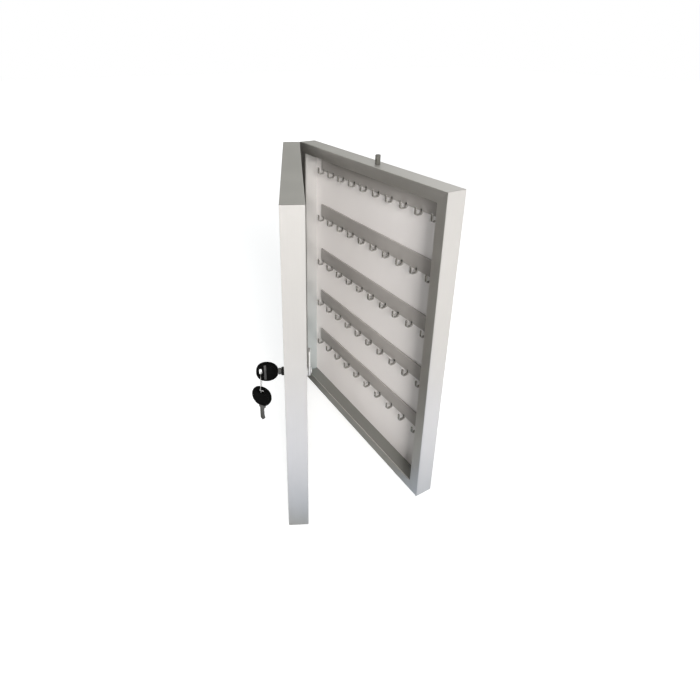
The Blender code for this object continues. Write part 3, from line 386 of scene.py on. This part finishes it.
SILVER_ACROSS = drawn_silver("drawn_silver_across", "X")
SILVER_SILL = drawn_silver("drawn_silver_sill", "X", sill=True)
SILVER_UPRIGHT = drawn_silver("drawn_silver_upright", "Z")
DOOR_SILVER_ACROSS = drawn_silver("door_silver_across", "X", -DOOR_ANGLE)
DOOR_SILVER_UPRIGHT = drawn_silver("door_silver_upright", "Z", -DOOR_ANGLE)
CLEAT_GREY = plated_steel("cleat_zinc", (0.36, 0.36, 0.37), (0.26, 0.26, 0.27), 0.5, 0.6)
PANEL_PAINT = painted_sheet("panel_paint", (0.81, 0.785, 0.775), (0.79, 0.765, 0.755), 0.42)
# The door's sheet, darker on its inner side with painted shade.
DOOR_PAINT = painted_sheet(
    "door_sheet_silver", (0.59, 0.58, 0.565), (0.575, 0.565, 0.55), 0.40, 0.2,
    shaded_inside=(0.24, 0.232, 0.205),
)
RAIL_GREY = painted_sheet(
    "rail_grey", (0.47, 0.45, 0.43), (0.42, 0.40, 0.385), 0.38, 0.3, 0.0006
)
HOOK_GREY = painted_sheet(
    "hook_grey", (0.66, 0.65, 0.62), (0.58, 0.57, 0.545), 0.22, 0.85, 0.0006
)
ZINC_STEEL = plated_steel("zinc_steel", (0.52, 0.52, 0.50), (0.38, 0.38, 0.37), 0.33)
POST_STEEL = plated_steel("post_steel", (0.27, 0.265, 0.24), (0.18, 0.175, 0.16), 0.30)
HINGE_STEEL = plated_steel("hinge_steel", (0.60, 0.59, 0.57), (0.46, 0.45, 0.44), 0.36)
BARREL_ZINC = plated_steel("barrel_zinc", (0.74, 0.74, 0.73), (0.62, 0.62, 0.61), 0.28, 0.85)
CAM_STEEL = plated_steel("cam_steel", (0.90, 0.90, 0.89), (0.74, 0.74, 0.73), 0.27, 0.82)
LOCK_BLACK = moulded_black("lock_black", 0.005, 0.36, 0.14, 0.0003)
KEY_STEEL = plated_steel("key_steel", (0.19, 0.187, 0.18), (0.13, 0.128, 0.122), 0.28)
KEY_BLACK = moulded_black("key_black", 0.0012, 0.46, 0.05)
# The key head's raised rib is a lighter black: a painted highlight.
RIB_HIGHLIGHT_BLACK = moulded_black("rib_highlight_black", 0.035, 0.40, 0.3)
WIRE_STEEL = plated_steel("ring_wire", (0.86, 0.86, 0.85), (0.70, 0.70, 0.70), 0.24)

# Finishes of the CAD nodes that stay. The cleats are added by their names.
NODE_FINISHES = {
    "body_top_profile": SILVER_ACROSS,
    "body_bottom_profile": SILVER_SILL,
    "body_left_profile": SILVER_UPRIGHT,
    "body_right_profile": SILVER_UPRIGHT,
    "door_top_profile": DOOR_SILVER_ACROSS,
    "door_bottom_profile": DOOR_SILVER_ACROSS,
    "door_hinge_side_profile": DOOR_SILVER_UPRIGHT,
    "door_lock_side_profile": DOOR_SILVER_UPRIGHT,
    "back_panel": PANEL_PAINT,
    "door_panel": DOOR_PAINT,
    "hinge_body_leaf": HINGE_STEEL,
    "hinge_door_leaf": HINGE_STEEL,
}


def softened(node, radius, steps=2, corner=FITTING_ANGLE):
    """A CAD node's shape with flat faces made whole and its corners rounded."""
    work = bmesh.new()
    work.from_mesh(NODES[node].data)
    bmesh.ops.remove_doubles(work, verts=work.verts, dist=SAME_CORNER)
    bmesh.ops.dissolve_limit(work, angle_limit=FLAT_ANGLE, verts=work.verts, edges=work.edges)
    round_off(work, sharp_edges(work, corner), radius, steps)
    return work


def sharp_edges(work, corner):
    """Edges of a bmesh where two faces meet at more than an angle."""
    return [edge for edge in work.edges if edge.is_manifold and edge.calc_face_angle(0) > corner]


def round_off(work, edges, radius, steps):
    """Round some edges of a bmesh."""
    bmesh.ops.bevel(
        work, geom=edges, offset=radius, segments=steps, profile=0.5, affect="EDGES",
        material=-1, clamp_overlap=True,
    )


def edges_of(vertices):
    """All edges at some vertices of a bmesh, each once and in a fixed order."""
    return list(dict.fromkeys(edge for vertex in vertices for edge in vertex.link_edges))


def face_outward(work):
    """Turn every face of a closed bmesh outward."""
    bmesh.ops.recalc_face_normals(work, faces=work.faces)
    if work.calc_volume(signed=True) < 0:
        bmesh.ops.reverse_faces(work, faces=work.faces)


def as_mesh(name, work):
    """Turn a bmesh into a mesh and free it."""
    mesh = bpy.data.meshes.new(name)
    work.to_mesh(mesh)
    work.free()
    return mesh


def add_object(name, data):
    """Add an object with its data to the scene."""
    made = bpy.data.objects.new(name, data)
    bpy.context.scene.collection.objects.link(made)
    return made


def add_piece(name, work, body, slot, node, *finishes, corner=SHARP_ANGLE):
    """Make a bmesh the piece that stands for a CAD node and moves with its body."""
    face_outward(work)
    mesh = as_mesh(name, work)
    for finish in finishes:
        mesh.materials.append(finish)
    mesh.shade_smooth()
    mesh.set_sharp_from_angle(angle=corner)
    piece = add_object(name, mesh)
    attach(piece, body)
    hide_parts(node)


def carved(work, tool):
    """Cut one bmesh by another with an exact Boolean."""
    pair = [add_object("blank", as_mesh("blank", part)) for part in (work, tool)]
    cut = pair[0].modifiers.new("cut", "BOOLEAN")
    cut.object = pair[1]
    cut.solver = "EXACT"
    cut.use_self = True
    cut.material_mode = "INDEX"
    bpy.context.view_layer.update()
    result = bmesh.new()
    result.from_object(pair[0], bpy.context.evaluated_depsgraph_get())
    for blank in pair:
        bpy.data.meshes.remove(blank.data)
    return result


def turned(profile, sides, place):
    """Turn (radius, height) points round Z and put the result in place."""
    work = bmesh.new()
    corners = [work.verts.new((radius, 0, height)) for radius, height in profile]
    edges = [work.edges.new(pair) for pair in zip(corners, corners[1:])]
    bmesh.ops.spin(
        work, geom=corners + edges, cent=(0, 0, 0), axis=(0, 0, 1), angle=2 * pi, steps=sides,
        use_merge=True,
    )
    bmesh.ops.remove_doubles(work, verts=work.verts, dist=SAME_POINT)
    bmesh.ops.recalc_face_normals(work, faces=work.faces)
    work.transform(place)
    return work


def drawn_out(work, face, offset, share=1.0):
    """Extrude the end face of a bmesh by an offset, shrink it, and return it."""
    drawn = bmesh.ops.extrude_face_region(work, geom=[face])
    bmesh.ops.delete(work, geom=[face], context="FACES_ONLY")
    end = [item for item in drawn["geom"] if isinstance(item, bmesh.types.BMFace)][0]
    bmesh.ops.translate(work, verts=end.verts, vec=offset)
    if share != 1.0:
        middle = Matrix.Translation(-end.calc_center_median())
        bmesh.ops.scale(work, vec=(share, share, share), space=middle, verts=end.verts)
    return end


def quarter_bend(work, face, centre):
    """Turn the end face of a bmesh through a quarter circle about X, and return it."""
    bent = bmesh.ops.spin(
        work, geom=[face], cent=centre, axis=(1, 0, 0), angle=-pi / 2, steps=6,
        use_duplicate=False,
    )
    bmesh.ops.delete(work, geom=[face], context="FACES_ONLY")
    return [item for item in bent["geom_last"] if isinstance(item, bmesh.types.BMFace)][0]


def add_hook(work, middle, bottom):
    """One hook: a rounded strip down from the rail, out to the front, and up to a rounded tip."""
    old = set(work.faces)
    root = Matrix.Translation((middle, RAIL_FRONT + HOOK_THICKNESS / 2, bottom + HOOK_ROOT))
    size = Matrix.Diagonal((HOOK_WIDTH, HOOK_THICKNESS, 1, 1))
    strip = bmesh.ops.create_grid(work, x_segments=1, y_segments=1, size=0.5, matrix=root @ size)
    bmesh.ops.bevel(
        work, geom=strip["verts"], offset=HOOK_CORNER, segments=3, profile=0.5,
        affect="VERTICES", material=-1,
    )
    start = [face for face in work.faces if face not in old][0]
    bmesh.ops.duplicate(work, geom=[start])
    radius = HOOK_BEND_RADIUS + HOOK_THICKNESS / 2
    end = drawn_out(work, start, (0, 0, -HOOK_ROOT - HOOK_DROP))
    end = quarter_bend(work, end, end.calc_center_median() - Vector((0, radius, 0)))
    end = drawn_out(work, end, (0, -HOOK_FLOOR, 0))
    end = quarter_bend(work, end, end.calc_center_median() + Vector((0, 0, radius)))
    end = drawn_out(work, end, (0, 0, HOOK_RISE - HOOK_TIP_LENGTH), HOOK_TAPER)
    for rise, share in HOOK_TIP:
        end = drawn_out(work, end, (0, 0, rise), share)
    for face in work.faces:
        if face not in old:
            face.material_index = 1


def build_hook_rail(number, bottom):
    """Flat rail with rounded edges, ten hooks, and the two pegs that hold it on the panel."""
    work = bmesh.new()
    middle = Vector((
        (RAIL_LEFT + RAIL_RIGHT) / 2, (RAIL_FRONT + RAIL_BACK) / 2, bottom + RAIL_HEIGHT / 2
    ))
    size = Matrix.Diagonal((RAIL_RIGHT - RAIL_LEFT, RAIL_BACK - RAIL_FRONT, RAIL_HEIGHT, 1))
    bmesh.ops.create_cube(work, size=1, matrix=Matrix.Translation(middle) @ size)
    round_off(work, work.edges[:], RAIL_CORNER, 3)
    for index in range(HOOK_COUNT):
        add_hook(work, HOOK_FIRST + HOOK_PITCH * index, bottom)
    bmesh.ops.remove_doubles(work, verts=work.verts, dist=SAME_POINT)
    for end in (RAIL_LEFT + PEG_FROM_END, RAIL_RIGHT - PEG_FROM_END):
        place = Matrix.Translation((end, 0, middle.z)) @ Z_TO_WALL
        peg = as_mesh("peg", turned(PEG_PROFILE, PEG_SIDES, place))
        work.from_mesh(peg)
        bpy.data.meshes.remove(peg)
    add_piece(
        "hook_rail_" + str(number), work, "cabinet", "rail_grey", "key_rail_" + str(number),
        RAIL_GREY, HOOK_GREY,
    )


def build_top_post():
    """Turned post on top of the body, with a chamfer and a blind hole in its end."""
    work = turned(POST_PROFILE, POST_SIDES, Matrix.Translation(POST_FOOT))
    add_piece("turned_post", work, "cabinet", "zinc_steel", "top_post", POST_STEEL)


def head_outline(work):
    """Loop of the key head's outline in XY: squarer at the ring end, flat at the neck, X zero."""
    loop = bmesh.ops.create_circle(work, cap_ends=False, segments=OUTLINE_POINTS, radius=1)
    for vertex in loop["verts"]:
        along, across, _ = vertex.co
        if along > 0:
            along = along ** HEAD_SQUARE_SHARE
            across = copysign(abs(across) ** HEAD_SQUARE_SHARE, across)
        else:
            along = max(along * HEAD_NECK_SHARE, -1)
        vertex.co = (HEAD_LENGTH / 2 * (along + 1), HEAD_WIDTH / 2 * across, 0)
    return loop["verts"]


def slot_outline(work):
    """Loop of the key head's ring slot, long across the head."""
    loop = bmesh.ops.create_circle(
        work, cap_ends=False, segments=OUTLINE_POINTS, radius=SLOT_WIDTH / 2
    )
    reach = (SLOT_LENGTH - SLOT_WIDTH) / 2
    for vertex in loop["verts"]:
        if abs(vertex.co.y) > ON_AXIS:
            vertex.co.y += copysign(reach, vertex.co.y)
        vertex.co.x += HEAD_LENGTH - SLOT_FROM_END
    return loop["verts"]


def build_key_head(name, node, body, place, rib_side):
    """Moulded head with a rounded rim, sunk faces, a slot for the ring and a rib on one face."""
    work = bmesh.new()
    bmesh.ops.bridge_loops(work, edges=edges_of(head_outline(work) + slot_outline(work)))
    bmesh.ops.translate(work, verts=work.verts, vec=(0, 0, -HEAD_THICKNESS / 2))
    drawn = bmesh.ops.extrude_face_region(work, geom=work.faces[:], use_keep_orig=True)
    raised = [item for item in drawn["geom"] if isinstance(item, bmesh.types.BMVert)]
    bmesh.ops.translate(work, verts=raised, vec=(0, 0, HEAD_THICKNESS))
    face_outward(work)
    round_off(work, sharp_edges(work, HEAD_ANGLE), HEAD_RIM, 4)
    flat = [
        face for face in work.faces
        if abs(face.normal.z) > 0.99 and face.calc_area() > SMALLEST_SUNK_FACE
    ]
    for margin in (SINK_MARGIN, SINK_SLOPE):
        bmesh.ops.inset_region(
            work, faces=[face for face in flat if face.is_valid], thickness=margin, depth=0,
            use_even_offset=True,
        )
    for vertex in {vertex for face in flat if face.is_valid for vertex in face.verts}:
        vertex.co.z -= copysign(HEAD_SINK, vertex.co.z)
    old = set(work.faces)
    level = rib_side * (HEAD_THICKNESS / 2 - RIB_HEIGHT / 2)
    middle = Matrix.Translation((HEAD_LENGTH - RIB_FROM_END, 0, level))
    size = Matrix.Diagonal((RIB_WIDTH, 2 * RIB_REACH, RIB_HEIGHT, 1))
    rib = bmesh.ops.create_cube(work, size=1, matrix=middle @ size)
    round_off(work, edges_of(rib["verts"]), RIB_CORNER, 3)
    # The rib gets the lighter black of its painted highlight.
    for face in work.faces:
        face.material_index = 0 if face in old else 1
    work.transform(place)
    add_piece(name, work, body, "key_head_black", node, KEY_BLACK, RIB_HIGHLIGHT_BLACK)


def build_key_blade(name, node, body):
    """Milled blade: the CAD outline with broken edges."""
    work = softened(node, BLADE_CORNER, corner=BLADE_ANGLE)
    add_piece(name, work, body, "key_steel", node, KEY_STEEL)


def build_split_ring():
    """Split ring: two turns of flat wire side by side."""
    work = bmesh.new()
    bmesh.ops.create_circle(work, cap_ends=True, segments=WIRE_SIDES, radius=0.5)
    bmesh.ops.scale(work, vec=(RING_WIRE_WIDTH, RING_WIRE_HEIGHT, 1), verts=work.verts)
    start = work.faces[:]
    bmesh.ops.translate(work, verts=work.verts, vec=(RING_RADIUS, -RING_WIRE_HEIGHT, 0))
    bmesh.ops.duplicate(work, geom=start)
    bmesh.ops.spin(
        work, geom=start, cent=(0, 0, 0), axis=(0, 1, 0), angle=RING_TURN, steps=RING_STEPS,
        dvec=(0, 2 * RING_WIRE_HEIGHT / RING_STEPS, 0), use_duplicate=False,
    )
    bmesh.ops.delete(work, geom=start, context="FACES_ONLY")
    bmesh.ops.remove_doubles(work, verts=work.verts, dist=SAME_POINT)
    work.transform(LOCK @ Matrix.Translation(RING_TOP - Vector((0, 0, RING_RADIUS))))
    add_piece(
        "split_ring", work, "ring", "ring_wire", "key_ring", WIRE_STEEL,
        corner=SHARP_ANGLE_OF_RING,
    )


def build_keys():
    """Key in the lock, the spare key, and the ring that joins them."""
    to_lock = Matrix(((0, 0, 1, 0), (-1, 0, 0, 0), (0, -1, 0, 0), (0, 0, 0, 1)))
    in_lock = LOCK @ Matrix.Translation((0, HEAD_START, 0)) @ to_lock
    hanging = Vector((0, 0, SPARE_HEAD_END - 2 * RING_RADIUS))
    spare = LOCK @ Matrix.Translation(RING_TOP + hanging)
    spare = spare @ Matrix.Rotation(SPARE_TURN, 4, "Z") @ Z_TO_WALL @ to_lock
    build_key_head("moulded_key_head", "key_head", "key", in_lock, 1)
    build_key_head("moulded_spare_head", "spare_key_head", "spare_key", spare, -1)
    build_key_blade("milled_blade", "key_blade", "key")
    build_key_blade("milled_spare_blade", "spare_key_blade", "spare_key")
    build_split_ring()


def cross_cutter(middle, reach, width, depth):
    """Two crossed bars that cut a cross recess into a screw head that faces +Y."""
    work = bmesh.new()
    for size in ((2 * reach, 2 * depth, width), (width, 2 * depth, 2 * reach)):
        place = Matrix.Translation(middle) @ Matrix.Diagonal((*size, 1))
        bmesh.ops.create_cube(work, size=1, matrix=place)
    return work


def build_panel_screw(number):
    """Countersunk screw with a cross recess, flush in the back panel."""
    node = "back_panel_screw_" + str(number)
    low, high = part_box(node)
    middle = (low + high) / 2
    place = Matrix.Translation((middle.x, 0, middle.z)) @ Z_TO_WALL
    tool = cross_cutter((middle.x, PANEL_SCREW_FACE, middle.z), *PANEL_SCREW_CROSS)
    work = carved(turned(PANEL_SCREW_PROFILE, PANEL_SCREW_SIDES, place), tool)
    add_piece("cross_screw_" + str(number), work, "cabinet", "zinc_steel", node, ZINC_STEEL)


def build_cam_screw():
    """Cam's screw with a rounded head and a cross recess."""
    tool = cross_cutter((0, 0, 0), *CAM_SCREW_CROSS)
    tool.transform(LOCK @ Matrix.Translation((0, CAM_SCREW_FACE, 0)))
    work = carved(softened("lock_cam_screw", CAM_SCREW_CORNER, 3), tool)
    add_piece("cam_screw", work, "plug", "bright_cam_steel", "lock_cam_screw", CAM_STEEL)


def build_housing():
    """Lock housing with broken corners: black cap in front of the door, bright barrel behind."""
    work = softened("lock_housing", HOUSING_CORNER, 3)
    for face in work.faces:
        behind = (DOOR.inverted() @ face.calc_center_median()).y > HOUSING_CAP_BACK
        face.material_index = 1 if behind else 0
    add_piece("housing", work, "door", "lock_black", "lock_housing", LOCK_BLACK, BARREL_ZINC)


def add_softened(name, node, radius, body, slot, finish, steps=2):
    """Add a CAD node's shape with broken corners as the piece that stands for it."""
    add_piece(name, softened(node, radius, steps), body, slot, node, finish)


def build_small_parts():
    """Lock, post and hinge fittings with their corners broken."""
    zinc = ("zinc_steel", ZINC_STEEL)
    black = ("lock_black", LOCK_BLACK)
    bright = ("bright_cam_steel", CAM_STEEL)
    add_softened("post_nut", "top_post_nut", POST_NUT_CORNER, "cabinet", *zinc)
    build_housing()
    add_softened("housing_nut", "lock_nut", LOCK_NUT_CORNER, "door", *zinc)
    add_softened("keyed_plug", "lock_plug", PLUG_CORNER, "plug", *black)
    add_softened("bright_cam", "lock_cam", CAM_CORNER, "plug", *bright, steps=3)
    build_cam_screw()
    for side, body in (("body", "cabinet"), ("door", "door")):
        for number in range(1, RIVETS_PER_LEAF + 1):
            node = "hinge_" + side + "_rivet_" + str(number)
            name = side + "_leaf_rivet_" + str(number)
            add_softened(name, node, RIVET_CORNER, body, *zinc)
    add_softened("long_hinge_pin", "hinge_pin", HINGE_PIN_CORNER, "cabinet", *zinc)


def paint_nodes():
    """Give the CAD nodes that stay their finishes."""
    cleats = {node: CLEAT_GREY for node in NODES if "_corner_cleat" in node}
    for node, finish in {**NODE_FINISHES, **cleats}.items():
        for slot in NODES[node].material_slots:
            slot.material = finish


def build_stage():
    """Pale floor, white to the camera apart from the light and shade round the cabinet.

    In gloss it carries painted shade near the cabinet, and is cooler right of it.
    """
    work = bmesh.new()
    level = Matrix.Translation((0, 0, FLOOR_LEVEL))
    bmesh.ops.create_grid(work, x_segments=1, y_segments=1, size=FLOOR_REACH, matrix=level)
    mesh = as_mesh("floor", work)
    finish = Finish("pale_floor")
    camera, mirrored = finish.rays()
    spot = finish.place(1, 0, SHADE_CENTRE)
    away = finish.node("ShaderNodeVectorMath", {0: spot}, 1, operation="LENGTH")
    right = finish.axis(spot, 0).ramp(*STRIP_SIDE)
    # Painted shade for gloss: the floor is dark near the cabinet, and cooler right of it.
    near = finish.mix(right, SHADE_GREY, SHADE_BLUE)
    far = finish.mix(right * (1 - away.ramp(*STRIP_END)), PALE_GREY, PALE_BLUE)
    mirror = finish.mix(away.ramp(*SHADE_END), near, far)
    colour = finish.mix(mirrored, FLOOR_GREY, mirror)
    glow = camera * (GLOW + away.ramp(*GLOW_RISE) * GLOW_GAIN)
    plain = finish.node("ShaderNodeBsdfDiffuse", {"Color": colour})
    white = finish.node("ShaderNodeEmission", {"Color": WHITE, "Strength": glow})
    shader = finish.node("ShaderNodeAddShader", {0: plain, 1: white})
    finish.node("ShaderNodeOutputMaterial", {"Surface": shader})
    mesh.materials.append(finish.owner)
    add_object("floor", mesh)


def build_world():
    """White backdrop for the camera, a graded studio for gloss, and even light for the rest."""
    world = bpy.data.worlds.new("studio")
    bpy.context.scene.world = world
    finish = Finish("studio", world)
    camera, mirrored = finish.rays()
    side = finish.axis(finish.node("ShaderNodeTexCoord"), 0)
    graded = finish.mix(side.ramp(*STUDIO_STEP), STUDIO_LEFT, STUDIO_RIGHT)
    even, room, white = (
        finish.node("ShaderNodeBackground", {"Color": colour, "Strength": strength})
        for colour, strength in ((AMBIENT_TINT, AMBIENT), (graded, 1.0), (WHITE, 1.0))
    )
    unseen = finish.node("ShaderNodeMixShader", {0: mirrored, 1: even, 2: room})
    shader = finish.node("ShaderNodeMixShader", {0: camera, 1: unseen, 2: white})
    finish.node("ShaderNodeOutputWorld", {"Surface": shader})


def add_lamp(name, azimuth, elevation, level, colour):
    """Square soft lamp aimed at the cabinet. Level is how bright a white card facing it gets."""
    lamp = bpy.data.lights.new(name, "AREA")
    lamp.shape = "SQUARE"
    lamp.size = LAMP_SIZE
    lamp.color = colour
    lamp.energy = level * pi * pi * LAMP_DISTANCE ** 2
    turn, rise = radians(azimuth), radians(elevation)
    away = Vector((cos(rise) * cos(turn), cos(rise) * sin(turn), sin(rise)))
    holder = add_object(name, lamp)
    holder.rotation_mode = "QUATERNION"
    holder.rotation_quaternion = away.to_track_quat("Z", "Y")
    holder.location = away * LAMP_DISTANCE
    holder.visible_camera = False
    holder.visible_glossy = False


def build_camera():
    """Camera where the photograph was taken from, with its framing."""
    camera = bpy.data.cameras.new("camera")
    camera.sensor_width = SENSOR_WIDTH
    camera.lens = PHOTO_FOCAL / PHOTO_SIZE * SENSOR_WIDTH
    camera.shift_x = (PHOTO_SIZE / 2 - PHOTO_MIDDLE[0]) / PHOTO_SIZE
    camera.shift_y = (PHOTO_MIDDLE[1] - PHOTO_SIZE / 2) / PHOTO_SIZE
    camera.clip_start = CLIP_START
    turn = Matrix.Rotation(CAMERA_TURN, 4, "Z") @ Matrix.Rotation(pi / 2 - CAMERA_DIP, 4, "X")
    holder = add_object("camera", camera)
    holder.matrix_world = (
        Matrix.Translation(CAMERA_PLACE) @ turn @ Matrix.Rotation(CAMERA_ROLL, 4, "Z")
    )
    bpy.context.scene.camera = holder


for index, bottom in enumerate(RAIL_BOTTOMS):
    build_hook_rail(index + 1, bottom)
build_top_post()
build_keys()
for number in range(1, PANEL_SCREW_COUNT + 1):
    build_panel_screw(number)
build_small_parts()
paint_nodes()
build_stage()
build_world()
for lamp in LAMPS:
    add_lamp(*lamp)
build_camera()
bpy.context.scene.view_settings.view_transform = "Standard"
